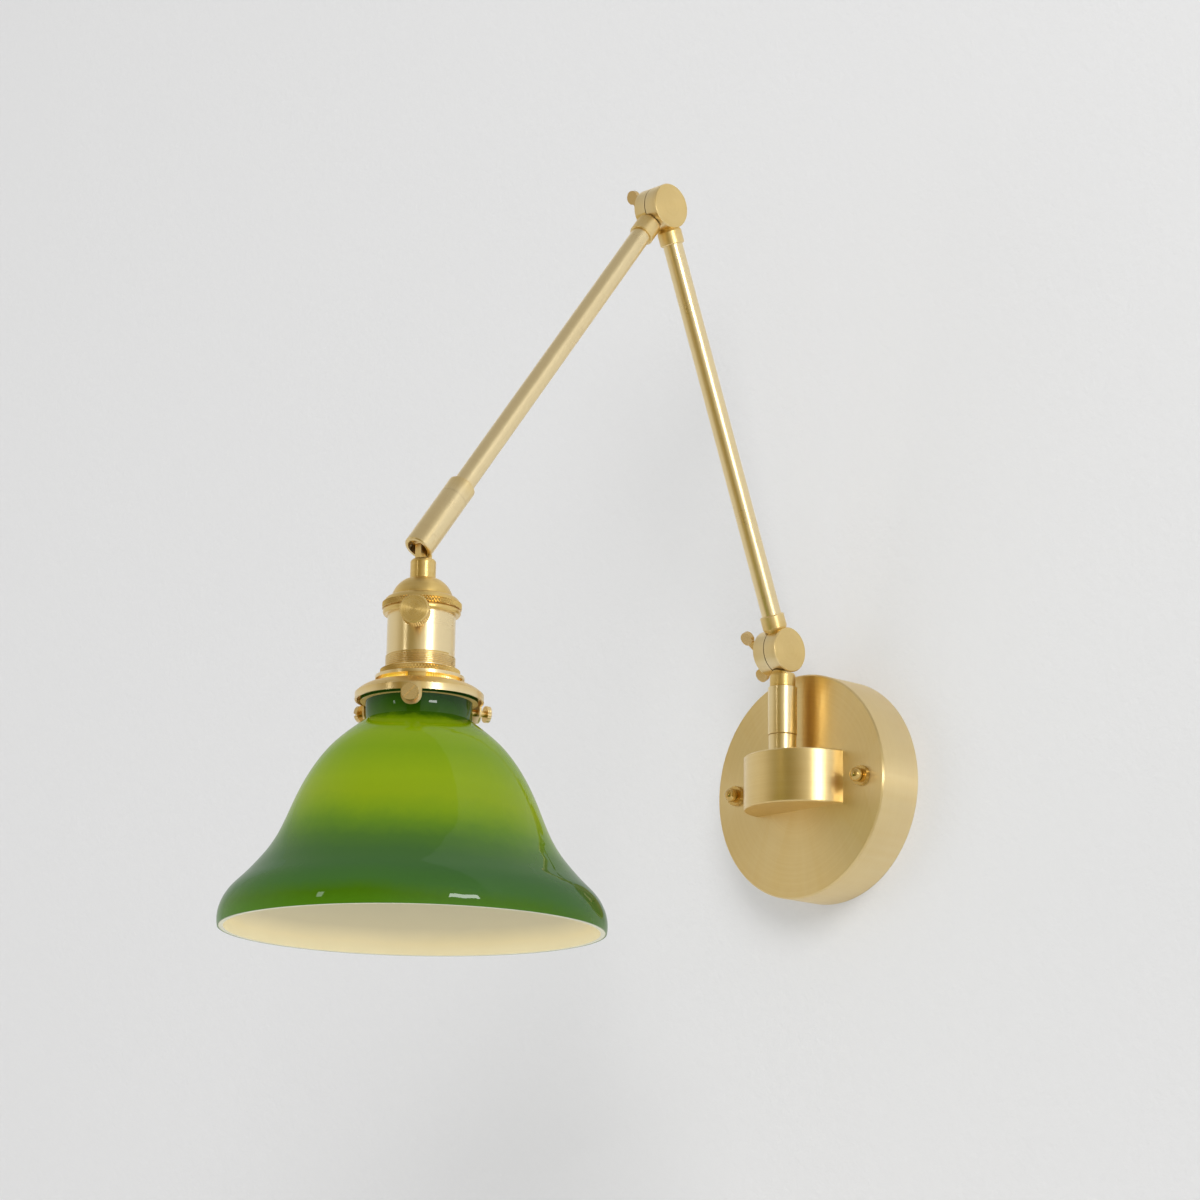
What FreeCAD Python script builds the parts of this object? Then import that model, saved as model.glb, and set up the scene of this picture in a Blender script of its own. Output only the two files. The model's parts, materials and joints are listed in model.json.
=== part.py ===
"""Two-arm swivel wall sconce in satin brass with a bell-shaped cased glass shade.

The origin is the centre of the wall plate's back, on the wall. +X is to the right, +Y goes into
the wall and +Z is up. A stem turns on a half-round block on the wall plate. Two arms fold at a
shoulder and an elbow knuckle, each locked by a wing screw. The lamp head tilts and turns at the
end of the upper arm. All sizes are in millimetres.
"""
import FreeCAD, Part
import math
import os

V = FreeCAD.Vector
X_AXIS = V(1, 0, 0)
Y_AXIS = V(0, 1, 0)
Z_AXIS = V(0, 0, 1)

# ---- clearances ----
RUN = 0.05            # radial clearance of a shaft that turns in a hole
FIT = 0.02            # radial clearance of a pushed or screwed joint inside one body
FACE_GAP = 0.1        # between flat faces that slide on each other
SEAT_GAP = 0.3        # between a loose piece and what carries it
HOLE_GAP = 0.3        # round a screw in a plain clearance hole

# ---- wall plate ----
CANOPY_R = 60.0
CANOPY_DEPTH = 27.0
CANOPY_WALL = 1.2
CANOPY_EDGE = 0.8     # bevel round the front face
STUD_SPACING = 91.0
STUD_R = 2.0
NUT_COLLAR_R = 5.4
NUT_COLLAR_H = 2.6
NUT_BALL_R = 3.7
NUT_BALL_H = 4.6      # ball centre above the plate's face
NUT_TEETH = 18
BAR_LENGTH = 104.0
BAR_WIDTH = 18.0
BAR_T = 2.0
BAR_SLOT_SPACING = 70.0
BAR_SLOT_LENGTH = 12.0
BAR_SLOT_R = 2.3
BAR_CENTRE_R = 6.0
GROUND_X = -14.0
GROUND_R = 2.0
GROUND_HEAD_R = 4.0
BUSHING_T = 1.6

# ---- half-round block and stem ----
SADDLE_R = 32.0       # the half-round block's curve, centred a little behind the plate's face
SADDLE_SETBACK = 3.9
SADDLE_H = 28.4
SADDLE_RISE = 1.2     # its middle above the plate's centre
SADDLE_WALL = 2.4
SADDLE_EDGE = 0.6
SADDLE_SCREW_X = 18.0
SADDLE_SCREW_R = 1.5
SADDLE_BOSS_R = 3.8
STEM_STANDOFF = 12.6  # stem axis in front of the plate's face
STEM_R = 7.7
FOOT_R = 7.4
FOOT_TOP = 25.5       # the thin groove round the stem
GROOVE_EDGE = 0.25
STEM_TOP = 51.2
POST_R = 4.95
POST_TOP = 45.5
POST_NUT_R = 8.0
POST_NUT_H = 3.5
CLIP_T = 1.2
CLIP_R = 6.2
STEM_CUP_R = 6.6      # the stem's wider bore at its top

# ---- knuckles ----
SHOULDER_Z = 71.3
KNUCKLE_R = 12.0
HALF_T = 8.0
SEAM_X = -2.4         # mating face of each right half
WASHER_T = 0.5
WASHER_R = 11.6
WASHER_BORE_R = 10.0
SWING_GAP = 0.6       # from a disc's rim to the other half's neck
KNUCKLE_EDGE = 0.5
BOSS_R = 9.0
BOSS_T = 1.8
CHANNEL_R = (5.6, 9.6)
CHANNEL_DEPTH = 2.6
SCREW_R = 2.4
SCREW_TIP_X = 3.0
NECK_R = 6.5
STEM_NECK_R = 6.8
NECK_BEVEL = 1.0
FOLD_HALF_ANGLE = 26.5  # half the angle between two arms folded neck to neck
TUBE_DEPTH = 6.0      # how far a tube goes into its collar

# ---- arms ----
LOWER_LENGTH = 243.5  # shoulder axis to elbow axis
LOWER_TILT = 22.1     # forward from upright
LOWER_X = -1.0
UPPER_LENGTH = 262.3  # elbow axis to tilt pivot
UPPER_TILT = 143.6
UPPER_X = -3.6
TUBE_R = 5.3
TUBE_WALL = 1.0
COLLAR_END = 20.0     # collar's far end from the knuckle axis
UPPER_COLLAR_END = 22.6
COLLAR_EDGE = 0.5
WIRE_BORE_R = 3.2
WIRE_R = 1.0
WIRE_OFFSET = 1.9

# ---- wing screws ----
WING_HUB_R = 4.0
WING_HUB_L = 4.6
WING_LOBE_R = 3.7
WING_SPAN = 10.8      # lobe centre from the screw's axis
WING_OUT = 7.6        # lobe centre from the boss
WING_T = 2.4
WING_ROOT = 0.6       # web set back from the boss
WING_WAIST = 3.4      # web width beside a lobe
SHOULDER_WING_TURN = 33.0
ELBOW_WING_TURN = 17.0

# ---- arm end swivel and tilt pivot ----
END_COLLAR_L = 10.0
END_COLLAR_BEVEL = 1.0
SWIVEL_R = 7.15
SWIVEL_L = 36.0
SWIVEL_OVERHANG = 6.4  # open end beyond the tilt pivot
SWIVEL_CAVITY_R = 5.3
SWIVEL_WEB_L = 15.0
SWIVEL_EDGE = 0.5
NIPPLE_R = 4.4
PIVOT_PIN_R = 1.5
TONGUE_T = 4.4
TONGUE_W = 7.0
TONGUE_END_R = 4.2
SLOT_GAP = 0.3

# ---- lamp holder, heights below the tilt pivot ----
NECK_DROP = 9.7
NECK_OUT_R = 6.2
NECK_TOP_R = 4.6
NECK_L = 10.0
NECK_BEVEL_H = 2.6
NECK_SPIGOT_H = 3.0   # the neck's thinner end in the cap
CAP_R = 18.8
CAP_DOME_R = 14.7     # the dome's foot
CAP_DOME_H = 8.8
CAP_SHOULDER_H = 3.2  # rounded shoulder between the dome and the knurl
CAP_RING_H = 3.2
CAP_BEAD_H = 2.8
CAP_WALL = 0.9
KNURL_DEPTH = 0.35
CAP_TEETH = 96
SHELL_R = 16.4
SHELL_WALL = 0.6
SHELL_TUCK = 3.0      # shell hidden inside the cap
SHELL_L = 35.0        # shell below the cap's bead
LINER_WALL = 0.6
CORE_TOP_GAP = 2.0
CORE_H = 12.0
SCREW_SHELL_R = 13.9
SCREW_SHELL_WALL = 0.4
SCREW_SHELL_L = 22.0
CONTACT_T = 0.6
CONTACT_R = 4.0
TERMINAL_R = 1.6
TERMINAL_RADIUS = 9.0
TERMINAL_TURN = 90.0
RING_R = 18.8
RING_H = 3.4
RING_TEETH = 96
WIRE_HOLE_GAP = 0.15

# ---- switch ----
KNOB_TURN = 43.0      # azimuth from -Y towards +X
KNOB_DROP = 3.4       # knob axis below the cap's bead
KNOB_R = 7.2
KNOB_L = 8.5
KNOB_START = 21.0
KNOB_TEETH = 40
KNOB_EDGE = 0.4
KNOB_FLOOR = 2.5      # solid face in front of the shaft's end
SHAFT_R = 1.6
CAM_R = 3.6
CAM_L = 5.0

# ---- shade holder ----
PLATE_DROP = 68.1     # top of the plate below the tilt pivot
PLATE_R = 21.4
PLATE_T = 1.6
VENT_H = 2.0
BAND_R = 30.9
BAND_T = 1.0
BAND_H = 3.3          # the straight band below the dome
DOME_H = 4.9          # from the band's top to the vents
DOME_TOP_R = 21.0
BRIDGES = 4
BRIDGE_TURN = 46.0
BRIDGE_ANGLE = 24.0
BRIDGE_LAP = 0.3      # how far a bridge runs into the plate and the dome
EARS = 3
EAR_TURN = 43.0
EAR_R = 5.0
EAR_DROP = 2.6        # ear centre below the band
GRUB_R = 1.6
GRUB_HEAD_R = 4.1
GRUB_HEAD_T = 2.0
GRUB_HEAD_START = 34.4
GRUB_SLOT = 0.9
GRUB_TEETH = 20

# ---- glass shade ----
SHADE_R = 91.4
SHADE_DROP = 190.0    # rim below the tilt pivot
GLASS_T = 3.0
LIP_R = 28.2
LIP_T = 3.6
NECK_GLASS_R = 25.5
NECK_GLASS_L = 9.1

# ---- bulb ----
BULB_R = 30.0
BULB_CAP_R = 13.1
BULB_CAP_L = 21.0
BULB_L = 106.0
BULB_NECK_R = 13.6
BULB_TIP_R = 4.5
BULB_TIP_H = 2.0
BULB_THROAT_H = 6.0   # glass straight above the cap


def lathe(outline, base=V(0, 0, 0), axis=Z_AXIS):
    """Revolve a closed (radius, height) outline and stand it on base, along axis.

    A corner is (radius, height). A curve is ("arc", through, to), with two such corners, or
    ("curve", corner, corner...), a smooth curve through its corners.
    """
    edges = []
    here = outline[0]
    for item in outline[1:] + [outline[0]]:
        curved = item[0] in ("arc", "curve")
        there = item[-1] if curved else item
        start = V(here[0], 0, here[1])
        end = V(there[0], 0, there[1])
        if curved:
            corners = [start] + [V(r, 0, h) for r, h in item[1:]]
            if item[0] == "arc":
                edges.append(Part.Arc(*corners).toShape())
            else:
                curve = Part.BSplineCurve()
                curve.interpolate(corners)
                edges.append(curve.toShape())
        elif start.distanceToPoint(end) > 1e-6:
            edges.append(Part.makeLine(start, end))
        here = there
    solid = Part.Face(Part.Wire(edges)).revolve(V(0, 0, 0), Z_AXIS, 360)
    solid.Placement = FreeCAD.Placement(base, FreeCAD.Rotation(Z_AXIS, axis))
    return solid


def ring(outer_r, inner_r, height, base=V(0, 0, 0), axis=Z_AXIS):
    body = Part.makeCylinder(outer_r, height, base, axis)
    return body.cut(Part.makeCylinder(inner_r, height, base, axis))


def knurled(radius, depth, teeth, height, base=V(0, 0, 0), axis=Z_AXIS):
    """A disc with straight V knurls round its rim."""
    points = []
    for i in range(2 * teeth):
        r = radius - depth * (i % 2)
        a = math.pi * i / teeth
        points.append(V(r * math.cos(a), r * math.sin(a), 0))
    disc = Part.Face(Part.makePolygon(points + points[:1])).extrude(V(0, 0, height))
    disc.Placement = FreeCAD.Placement(base, FreeCAD.Rotation(Z_AXIS, axis))
    return disc


def placed(shape, placement):
    result = shape.copy()
    result.Placement = placement.multiply(result.Placement)
    return result


def tilted_frame(pivot, tilt):
    """A frame at pivot whose +Z leans forward, away from the wall, by tilt degrees."""
    return FreeCAD.Placement(pivot, FreeCAD.Rotation(X_AXIS, tilt))


def facing(turn):
    """The level direction at an azimuth from -Y towards +X."""
    a = math.radians(turn)
    return V(math.sin(a), -math.cos(a), 0)


def save(node, *solids):
    shape = solids[0] if len(solids) == 1 else Part.makeCompound(list(solids))
    for solid in shape.Solids:
        if not solid.isValid():
            print("invalid solid in", node)
    shape.exportStep("parts/" + node + ".step")


# ---------------------------------------------------------------- places

FACE_Y = -CANOPY_DEPTH
STEM_Y = FACE_Y - STEM_STANDOFF
BLOCK_TOP = SADDLE_RISE + SADDLE_H / 2
FOOT_H = FOOT_TOP - BLOCK_TOP
SHOULDER = V(0, STEM_Y, SHOULDER_Z)
LOWER_FRAME = tilted_frame(SHOULDER, LOWER_TILT)
ELBOW = LOWER_FRAME.multVec(V(0, 0, LOWER_LENGTH))
ELBOW_FRAME = tilted_frame(ELBOW, LOWER_TILT + 180)
UPPER_FRAME = tilted_frame(ELBOW, UPPER_TILT)
TILT_PIVOT = UPPER_FRAME.multVec(V(UPPER_X, 0, UPPER_LENGTH))
HEAD_FRAME = FreeCAD.Placement(TILT_PIVOT, FreeCAD.Rotation())
NECK_START = KNUCKLE_R + SWING_GAP
LEAD_START = NECK_START + SEAT_GAP    # each arm's leads end short of the other half's swing
TUBE_BORE_R = TUBE_R - TUBE_WALL
LEFT_X = SEAM_X - WASHER_T
LEFT_FACE_X = LEFT_X - HALF_T
BOSS_X = LEFT_FACE_X - BOSS_T


# ---------------------------------------------------------------- wall plate

def make_canopy():
    cup = lathe([(0, 0), (CANOPY_R - CANOPY_EDGE, 0), (CANOPY_R, CANOPY_EDGE),
                 (CANOPY_R, CANOPY_DEPTH), (CANOPY_R - CANOPY_WALL, CANOPY_DEPTH),
                 (CANOPY_R - CANOPY_WALL, CANOPY_WALL), (0, CANOPY_WALL)], V(0, FACE_Y, 0), Y_AXIS)
    front = V(0, FACE_Y - 1, 0)
    holes = [Part.makeCylinder(WIRE_BORE_R + BUSHING_T, CANOPY_WALL + 2, front, Y_AXIS)]
    for side in (-1, 1):
        for x, r in ((STUD_SPACING / 2, STUD_R), (SADDLE_SCREW_X, SADDLE_SCREW_R)):
            holes.append(Part.makeCylinder(r + HOLE_GAP, CANOPY_WALL + 2,
                                           front + V(side * x, 0, 0), Y_AXIS))
    return cup.cut(holes)


def slot_cutter(x):
    half = BAR_SLOT_LENGTH / 2 - BAR_SLOT_R
    low = V(x - half, 1, -BAR_SLOT_R)
    cutter = Part.makeBox(2 * half, BAR_T + 2, 2 * BAR_SLOT_R, low - V(0, BAR_T + 2, 0))
    for end in (-half, half):
        cutter = cutter.fuse(Part.makeCylinder(BAR_SLOT_R, BAR_T + 2, V(x + end, 1, 0), -Y_AXIS))
    return cutter


def make_crossbar():
    bar = Part.makeBox(BAR_LENGTH, BAR_T, BAR_WIDTH, V(-BAR_LENGTH / 2, -BAR_T, -BAR_WIDTH / 2))
    cutters = [Part.makeCylinder(BAR_CENTRE_R, BAR_T + 2, V(0, 1, 0), -Y_AXIS),
               Part.makeCylinder(GROUND_R + FIT, BAR_T + 2, V(GROUND_X, 1, 0), -Y_AXIS)]
    for side in (-1, 1):
        cutters.append(slot_cutter(side * BAR_SLOT_SPACING / 2))
        cutters.append(Part.makeCylinder(STUD_R + FIT, BAR_T + 2,
                                         V(side * STUD_SPACING / 2, 1, 0), -Y_AXIS))
    return bar.cut(cutters)


def make_cap_nut(x):
    """A round toothed collar with a ball on it, and a blind hole for the stud."""
    face = V(x, FACE_Y - FACE_GAP, 0)
    neck_r = NUT_BALL_R * 0.8
    neck_h = NUT_BALL_H - math.sqrt(NUT_BALL_R ** 2 - neck_r ** 2)
    ball = lathe([(0, 0), (neck_r, 0), (neck_r, neck_h),
                  ("arc", (NUT_BALL_R, NUT_BALL_H), (0, NUT_BALL_H + NUT_BALL_R))], face, -Y_AXIS)
    collar = knurled(NUT_COLLAR_R, KNURL_DEPTH, NUT_TEETH, NUT_COLLAR_H, face, -Y_AXIS)
    hole = Part.makeCylinder(STUD_R + FIT, NUT_BALL_H, face, -Y_AXIS)
    return collar.fuse(ball).cut(hole)


def make_stud(x):
    length = CANOPY_DEPTH + FACE_GAP + NUT_BALL_H - SEAT_GAP
    return Part.makeCylinder(STUD_R, length, V(x, 0, 0), -Y_AXIS)


def make_ground_screw():
    shank = Part.makeCylinder(GROUND_R, BAR_T, V(GROUND_X, 0, 0), -Y_AXIS)
    head = lathe([(0, 0), (GROUND_HEAD_R, 0), (GROUND_HEAD_R, GROUND_R / 2),
                  (GROUND_HEAD_R - GROUND_R / 2, GROUND_R), (0, GROUND_R)], V(GROUND_X, -BAR_T, 0), -Y_AXIS)
    return shank.fuse(head)


def make_bushing():
    """A shouldered grommet in the plate's centre hole."""
    outer = WIRE_BORE_R + BUSHING_T - FIT
    back = FACE_Y + CANOPY_WALL
    return lathe([(WIRE_BORE_R, 0), (outer, 0), (outer, CANOPY_WALL), (outer + BUSHING_T, CANOPY_WALL),
                  (outer + BUSHING_T, CANOPY_WALL + BUSHING_T), (WIRE_BORE_R, CANOPY_WALL + BUSHING_T)],
                 V(0, back - CANOPY_WALL, 0), Y_AXIS)


def half_round(inset):
    """The block's outline, set in all round by inset, with its flat side on the plate's face."""
    radius = SADDLE_R - inset
    bottom = SADDLE_RISE - SADDLE_H / 2 + inset
    disc = Part.makeCylinder(radius, SADDLE_H - 2 * inset, V(0, FACE_Y + SADDLE_SETBACK, bottom), Z_AXIS)
    size = 2 * SADDLE_R
    return disc.cut(Part.makeBox(2 * size, size, 2 * size, V(-size, FACE_Y, -size)))


def make_block():
    shell = half_round(0)
    rims = [e for e in shell.Edges if isinstance(e.Curve, Part.Circle)]
    shell = shell.makeChamfer(SADDLE_EDGE, rims).cut(half_round(SADDLE_WALL))
    for side in (-1, 1):
        boss = Part.makeCylinder(SADDLE_BOSS_R, SADDLE_R, V(side * SADDLE_SCREW_X, FACE_Y, 0), -Y_AXIS)
        shell = shell.fuse(boss.common(half_round(SADDLE_WALL / 2)))
    holes = [Part.makeCylinder(POST_R + FIT, 2 * SADDLE_WALL, V(0, STEM_Y, BLOCK_TOP - 1.5 * SADDLE_WALL))]
    for side in (-1, 1):
        holes.append(Part.makeCylinder(SADDLE_SCREW_R + FIT, block_screw_length(),
                                       V(side * SADDLE_SCREW_X, FACE_Y, 0), -Y_AXIS))
    return shell.cut(holes)


def block_screw_length():
    """How deep the block's screws go, short of its curved front."""
    return (math.sqrt(SADDLE_R ** 2 - SADDLE_SCREW_X ** 2) - SADDLE_SETBACK) / 2


def make_block_screw(x):
    inner_face = V(x, FACE_Y + CANOPY_WALL, 0)
    shank = Part.makeCylinder(SADDLE_SCREW_R, block_screw_length() + CANOPY_WALL, inner_face, -Y_AXIS)
    head_r = 2 * SADDLE_SCREW_R
    head = lathe([(0, 0), (head_r, 0), (head_r, SADDLE_SCREW_R), (0, SADDLE_SCREW_R)],
                 inner_face, Y_AXIS)
    slot = Part.makeBox(2 * head_r, SADDLE_SCREW_R, SADDLE_SCREW_R / 2,
                        inner_face + V(-head_r, SADDLE_SCREW_R / 2, -SADDLE_SCREW_R / 4))
    return shank.fuse(head).cut(slot)


def bent_wire(x, start_y, top_z, bend_r):
    """A lead that runs forward from the wall and turns up into the stem."""
    corner = V(x, STEM_Y, 0)
    back = corner + V(0, bend_r, 0)
    up = corner + V(0, 0, bend_r)
    mid = corner + V(0, bend_r, bend_r) + V(0, -bend_r, -bend_r) * math.sqrt(0.5)
    path = Part.Wire([Part.makeLine(V(x, start_y, 0), back), Part.Arc(back, mid, up).toShape(),
                      Part.makeLine(up, V(x, STEM_Y, top_z))])
    section = Part.Wire(Part.makeCircle(WIRE_R, V(x, start_y, 0), -Y_AXIS))
    return path.makePipeShell([section], True, False)


def make_base():
    sides = (-STUD_SPACING / 2, STUD_SPACING / 2)
    save("canopy", make_canopy())
    save("crossbar", make_crossbar())
    save("canopy_studs", *[make_stud(x) for x in sides])
    save("cap_nuts", *[make_cap_nut(x) for x in sides])
    save("ground_screw", make_ground_screw())
    save("wire_bushing", make_bushing())
    save("half_round_block", make_block())
    save("block_screws", *[make_block_screw(side * SADDLE_SCREW_X) for side in (-1, 1)])
    foot_base = V(0, STEM_Y, BLOCK_TOP)
    save("stem_foot", lathe([(POST_R + FIT, 0), (FOOT_R, 0), (FOOT_R, FOOT_H - GROOVE_EDGE),
                             (FOOT_R - GROOVE_EDGE, FOOT_H), (POST_R + FIT, FOOT_H)], foot_base))
    inner_top = BLOCK_TOP - SADDLE_WALL
    post_bottom = inner_top - POST_NUT_H - 1.5
    save("stem_post", ring(POST_R, WIRE_BORE_R, POST_TOP - post_bottom, V(0, STEM_Y, post_bottom)))
    nut = knurled(POST_NUT_R, 0, 3, POST_NUT_H, V(0, STEM_Y, inner_top - POST_NUT_H))
    save("post_nut", nut.cut(Part.makeCylinder(POST_R + FIT, POST_NUT_H,
                                               V(0, STEM_Y, inner_top - POST_NUT_H))))
    save("post_clip", ring(CLIP_R, POST_R + FIT, CLIP_T, V(0, STEM_Y, POST_TOP - CLIP_T)))
    bend_r = 3 * WIRE_R
    save("supply_leads", *[bent_wire(side * WIRE_OFFSET, -BAR_T, POST_TOP, bend_r)
                           for side in (-1, 1)])


# ---------------------------------------------------------------- knuckles

def make_half(side, neck_x, neck_r, neck_end):
    """One half of a knuckle: a disc on one side of the seam and a round neck along +Z.

    The pivot is the X axis. Inside the swing radius the half keeps to its own side of the seam,
    and its mating face has a ring channel in which the leads cross.
    """
    face_x = SEAM_X if side > 0 else LEFT_X
    out = X_AXIS * side
    disc = lathe([(0, 0), (KNUCKLE_R, 0), (KNUCKLE_R, HALF_T - KNUCKLE_EDGE),
                  (KNUCKLE_R - KNUCKLE_EDGE, HALF_T), (0, HALF_T)], V(face_x, 0, 0), out)
    waist_r = neck_r - NECK_BEVEL
    full_from = neck_r / math.tan(math.radians(FOLD_HALF_ANGLE))
    bevel_from = full_from - NECK_BEVEL / math.tan(math.radians(FOLD_HALF_ANGLE))
    neck = lathe([(0, 0), (waist_r, 0), (waist_r, bevel_from), (neck_r, full_from),
                  (neck_r, neck_end - COLLAR_EDGE), (neck_r - COLLAR_EDGE, neck_end), (0, neck_end)],
                 V(neck_x, 0, 0))
    solid = disc.fuse(neck)
    solid = solid.cut(Part.makeCylinder(NECK_START, 4 * HALF_T, V(face_x, 0, 0), -out))
    beyond = Part.makeCylinder(NECK_START, 4 * HALF_T, V(face_x, 0, 0) + out * HALF_T, out)
    solid = solid.cut(beyond)
    low, high = CHANNEL_R
    solid = solid.cut(ring(high, low, CHANNEL_DEPTH, V(face_x, 0, 0), out))
    wire_start = (low + high) / 2
    solid = solid.cut(Part.makeCylinder(WIRE_BORE_R, neck_end, V(neck_x, 0, wire_start)))
    if side > 0:
        return solid.cut(Part.makeCylinder(SCREW_R + RUN, SCREW_TIP_X - face_x + SEAT_GAP,
                                           V(face_x, 0, 0), out))
    boss = Part.makeCylinder(BOSS_R, BOSS_T, V(LEFT_FACE_X, 0, 0), out)
    solid = solid.fuse(boss)
    return solid.cut(Part.makeCylinder(SCREW_R + RUN, 4 * HALF_T, V(face_x, 0, 0), out))


def with_tube_socket(half, neck_x, neck_end):
    """Open the neck for a tube that goes TUBE_DEPTH into it."""
    return half.cut(Part.makeCylinder(TUBE_R + FIT, 2 * TUBE_DEPTH, V(neck_x, 0, neck_end - TUBE_DEPTH)))


def make_washer():
    return ring(WASHER_R, WASHER_BORE_R, WASHER_T - 2 * FACE_GAP, V(LEFT_X + FACE_GAP, 0, 0), X_AXIS)


def make_wing_screw():
    """A screw through the left half, with two round lobes on a hub outside the boss."""
    start = BOSS_X - FACE_GAP
    shank = Part.makeCylinder(SCREW_R, SCREW_TIP_X - start, V(start, 0, 0), X_AXIS)
    hub = lathe([(0, 0), (WING_HUB_R, 0), (WING_HUB_R, WING_HUB_L - 1), (WING_HUB_R - 1, WING_HUB_L),
                 (0, WING_HUB_L)], V(start, 0, 0), -X_AXIS)
    solid = shank.fuse(hub)
    tip_x = start - WING_OUT
    root_x = start - WING_ROOT
    for side in (-1, 1):
        lobe = V(tip_x, -WING_T / 2, side * WING_SPAN)
        solid = solid.fuse(Part.makeCylinder(WING_LOBE_R, WING_T, lobe, Y_AXIS))
        reach = side * (WING_SPAN - WING_LOBE_R / 2)
        corners = [(root_x, 0), (start - WING_HUB_L + WING_ROOT, 0), (tip_x - WING_WAIST / 3, reach),
                   (tip_x + 2 * WING_WAIST / 3, reach), (root_x, side * (WING_HUB_R - WING_ROOT)), (root_x, 0)]
        web = Part.Face(Part.makePolygon([V(x, -WING_T / 2, z) for x, z in corners]))
        solid = solid.fuse(web.extrude(V(0, WING_T, 0)))
    return solid.removeSplitter()


def pair_of_leads(frame, x, start, end):
    return [placed(Part.makeCylinder(WIRE_R, end - start, V(x + side * WIRE_OFFSET, 0, start)), frame)
            for side in (-1, 1)]


def arm_tube(frame, x, start, end):
    return placed(ring(TUBE_R, TUBE_BORE_R, end - start, V(x, 0, start)), frame)


# ---------------------------------------------------------------- stem and arms

def make_stem():
    bottom = FOOT_TOP + FACE_GAP
    cup_floor = POST_TOP - CLIP_T - FACE_GAP
    tube = lathe([(POST_R + RUN, bottom), (STEM_R - GROOVE_EDGE, bottom), (STEM_R, bottom + GROOVE_EDGE),
                  (STEM_R, STEM_TOP), (POST_R + RUN, STEM_TOP)], V(0, STEM_Y, 0))
    tube = tube.cut(Part.makeCylinder(STEM_CUP_R, STEM_TOP, V(0, STEM_Y, cup_floor)))
    save("stem_tube", tube)

    # the stem's half of the shoulder hangs from the pivot, so its neck points down
    neck_end = SHOULDER_Z - STEM_TOP
    spigot = neck_end + (STEM_TOP - POST_TOP) / 2
    half = make_half(-1, 0, STEM_NECK_R, neck_end)
    plug = ring(STEM_CUP_R - FIT, WIRE_BORE_R, spigot - neck_end + 1, V(0, 0, neck_end - 1))
    half = half.fuse(plug)
    frame = tilted_frame(SHOULDER, 180)
    save("shoulder_left_half", placed(half, frame))
    save("stem_leads", *pair_of_leads(frame, 0, LEAD_START, spigot))
    wing = make_wing_screw()
    save("shoulder_wing_screw", placed(wing, tilted_frame(SHOULDER, SHOULDER_WING_TURN)))


def make_lower_arm():
    half = with_tube_socket(make_half(1, LOWER_X, NECK_R, COLLAR_END), LOWER_X, COLLAR_END)
    save("shoulder_right_half", placed(half, LOWER_FRAME))
    save("elbow_right_half", placed(half, ELBOW_FRAME))
    save("shoulder_washer", placed(make_washer(), LOWER_FRAME))
    start = COLLAR_END - TUBE_DEPTH
    save("lower_arm_tube", arm_tube(LOWER_FRAME, LOWER_X, start, LOWER_LENGTH - start))
    leads = pair_of_leads(LOWER_FRAME, LOWER_X, LEAD_START, LOWER_LENGTH - LEAD_START)
    save("lower_arm_leads", *leads)


def make_upper_arm():
    half = make_half(-1, UPPER_X, NECK_R, UPPER_COLLAR_END)
    half = with_tube_socket(half, UPPER_X, UPPER_COLLAR_END)
    save("elbow_left_half", placed(half, UPPER_FRAME))
    save("elbow_washer", placed(make_washer(), UPPER_FRAME))
    wing = make_wing_screw()
    save("elbow_wing_screw", placed(wing, tilted_frame(ELBOW, ELBOW_WING_TURN)))

    swivel_start = UPPER_LENGTH + SWIVEL_OVERHANG - SWIVEL_L
    collar_end = swivel_start - FACE_GAP
    collar_start = collar_end - END_COLLAR_L
    tube_end = collar_start + TUBE_DEPTH
    save("upper_arm_tube", arm_tube(UPPER_FRAME, UPPER_X, UPPER_COLLAR_END - TUBE_DEPTH, tube_end))
    collar = lathe([(NIPPLE_R + FIT, END_COLLAR_L), (NIPPLE_R + FIT, TUBE_DEPTH),
                    (TUBE_R + FIT, TUBE_DEPTH), (TUBE_R + FIT, 0), (SWIVEL_R - END_COLLAR_BEVEL, 0),
                    (SWIVEL_R, END_COLLAR_BEVEL), (SWIVEL_R, END_COLLAR_L)], V(UPPER_X, 0, collar_start))
    save("arm_end_collar", placed(collar, UPPER_FRAME))
    nipple_end = swivel_start + SWIVEL_WEB_L + CLIP_T + 2 * FACE_GAP
    nipple = ring(NIPPLE_R, WIRE_BORE_R, nipple_end - tube_end, V(UPPER_X, 0, tube_end))
    save("swivel_nipple", placed(nipple, UPPER_FRAME))
    clip_base = V(UPPER_X, 0, swivel_start + SWIVEL_WEB_L + FACE_GAP)
    clip = ring(SWIVEL_CAVITY_R - 2 * RUN, NIPPLE_R + FIT, CLIP_T, clip_base)
    save("swivel_clip", placed(clip, UPPER_FRAME))
    save("upper_arm_leads", *pair_of_leads(UPPER_FRAME, UPPER_X, LEAD_START, nipple_end))


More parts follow.
